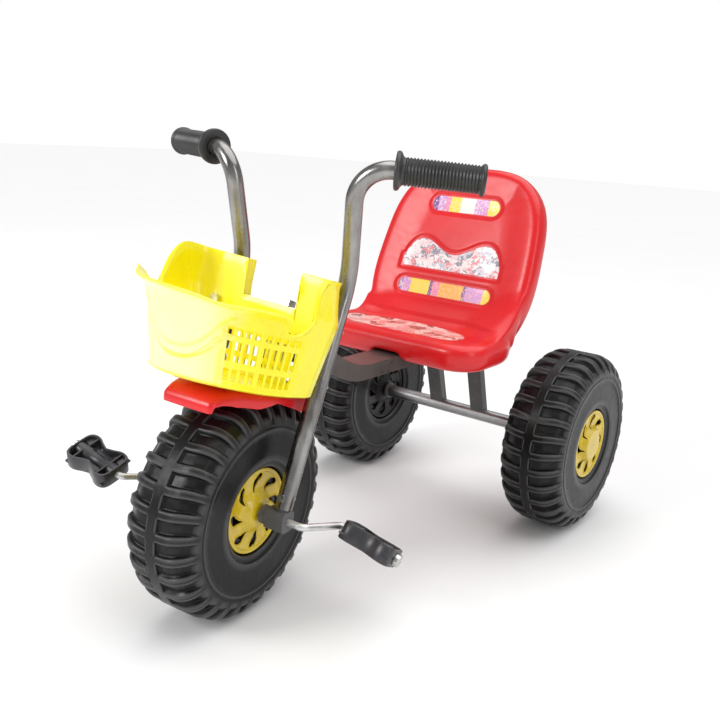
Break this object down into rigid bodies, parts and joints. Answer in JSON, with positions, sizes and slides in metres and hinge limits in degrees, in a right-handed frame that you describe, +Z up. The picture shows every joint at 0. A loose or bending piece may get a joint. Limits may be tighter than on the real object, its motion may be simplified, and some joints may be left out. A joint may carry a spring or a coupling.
{
  "type": "children's tricycle",
  "caption": "Child's pedal tricycle with fat knobbly tyres, a steered front fork with pedals, a slotted handlebar basket, a mudguard and a moulded chair seat on a pressed-steel frame.",
  "frame": {"origin": "on the ground, under the middle of the tricycle's bounding box", "axes": "the tricycle faces -Y (front wheel at -Y), +X is the rider's left, +Z is up; the fork is stored turned 7 degrees towards the rider's left"},
  "size_m": [0.446, 0.7414, 0.5212],
  "materials": {
    "tyre_rubber": "black blow-moulded tread, worn satin",
    "hub_yellow": "golden-yellow moulded gloss",
    "grip_rubber": "black ribbed satin",
    "tube_chrome": "bright polished tube",
    "basket_yellow": "lemon-yellow thin moulded gloss",
    "shell_red": "red moulded gloss",
    "bolt_steel": "zinc-plated",
    "pedal_black": "black moulded satin",
    "nylon_grey": "dark grey moulded",
    "frame_paint": "grey-brown paint",
    "stay_paint": "dark grey paint",
    "rod_steel": "bright plated rod",
    "plate_steel": "plain steel, satin"
  },
  "bodies": {
    "frame": {"head_tube": "plate_steel", "head_bush_upper": "nylon_grey", "head_bush_lower": "nylon_grey", "backbone": "frame_paint", "seat_bracket": "frame_paint", "seat_bolts": "bolt_steel", "stay_left": "stay_paint", "stay_right": "stay_paint", "rear_axle_tube": "plate_steel", "axle_plug_left": "nylon_grey", "axle_plug_right": "nylon_grey", "rear_axle_rod": "rod_steel", "axle_nuts": "bolt_steel", "seat": "shell_red"},
    "fork": {"fork_tube_left": "tube_chrome", "fork_tube_right": "tube_chrome", "grip_left": "grip_rubber", "grip_right": "grip_rubber", "lower_crown_plate": "plate_steel", "upper_crown_plate": "plate_steel", "steering_bolt": "bolt_steel", "steering_washers": "bolt_steel", "steering_nut": "bolt_steel", "axle_foot_left": "nylon_grey", "axle_foot_right": "nylon_grey", "foot_bolts": "bolt_steel", "foot_nuts": "bolt_steel", "basket": "basket_yellow", "basket_bolts": "bolt_steel", "basket_nuts": "bolt_steel", "fender": "shell_red"},
    "front_wheel": {"front_tyre": "tyre_rubber", "front_hub_left": "hub_yellow", "front_hub_right": "hub_yellow", "crank_axle": "rod_steel", "drive_pins": "rod_steel", "pedal_cap_left": "bolt_steel", "pedal_cap_right": "bolt_steel"},
    "pedal_left": {"pedal_left": "pedal_black"},
    "pedal_right": {"pedal_right": "pedal_black"},
    "rear_wheel_left": {"rear_tyre_left": "tyre_rubber", "rear_hub_outer_left": "hub_yellow", "rear_hub_inner_left": "hub_yellow"},
    "rear_wheel_right": {"rear_tyre_right": "tyre_rubber", "rear_hub_outer_right": "hub_yellow", "rear_hub_inner_right": "hub_yellow"}
  },
  "joints": [
    {"name": "steering", "type": "hinge", "parent": "frame", "child": "fork", "pos_m": [0, -0.1752, 0.29116], "axis": [0, 0.342, 0.9397], "range_deg": [-52, 38]},
    {"name": "front_wheel_spin", "type": "hinge", "parent": "fork", "child": "front_wheel", "pos_m": [0.00103, -0.24434, 0.12575], "axis": [0.9925, 0.1145, -0.0417], "continuous": true},
    {"name": "pedal_left_spin", "type": "hinge", "parent": "front_wheel", "child": "pedal_left", "pos_m": [0.1114, -0.184, 0.11266], "axis": [0.9577, 0.111, -0.2654], "continuous": true},
    {"name": "pedal_right_spin", "type": "hinge", "parent": "front_wheel", "child": "pedal_right", "pos_m": [-0.10934, -0.30468, 0.13884], "axis": [0.9577, 0.111, -0.2654], "continuous": true},
    {"name": "rear_wheel_left_spin", "type": "hinge", "parent": "frame", "child": "rear_wheel_left", "pos_m": [0.176, 0.2456, 0.125], "axis": [1, 0, 0], "continuous": true},
    {"name": "rear_wheel_right_spin", "type": "hinge", "parent": "frame", "child": "rear_wheel_right", "pos_m": [-0.176, 0.2456, 0.125], "axis": [1, 0, 0], "continuous": true}
  ]
}
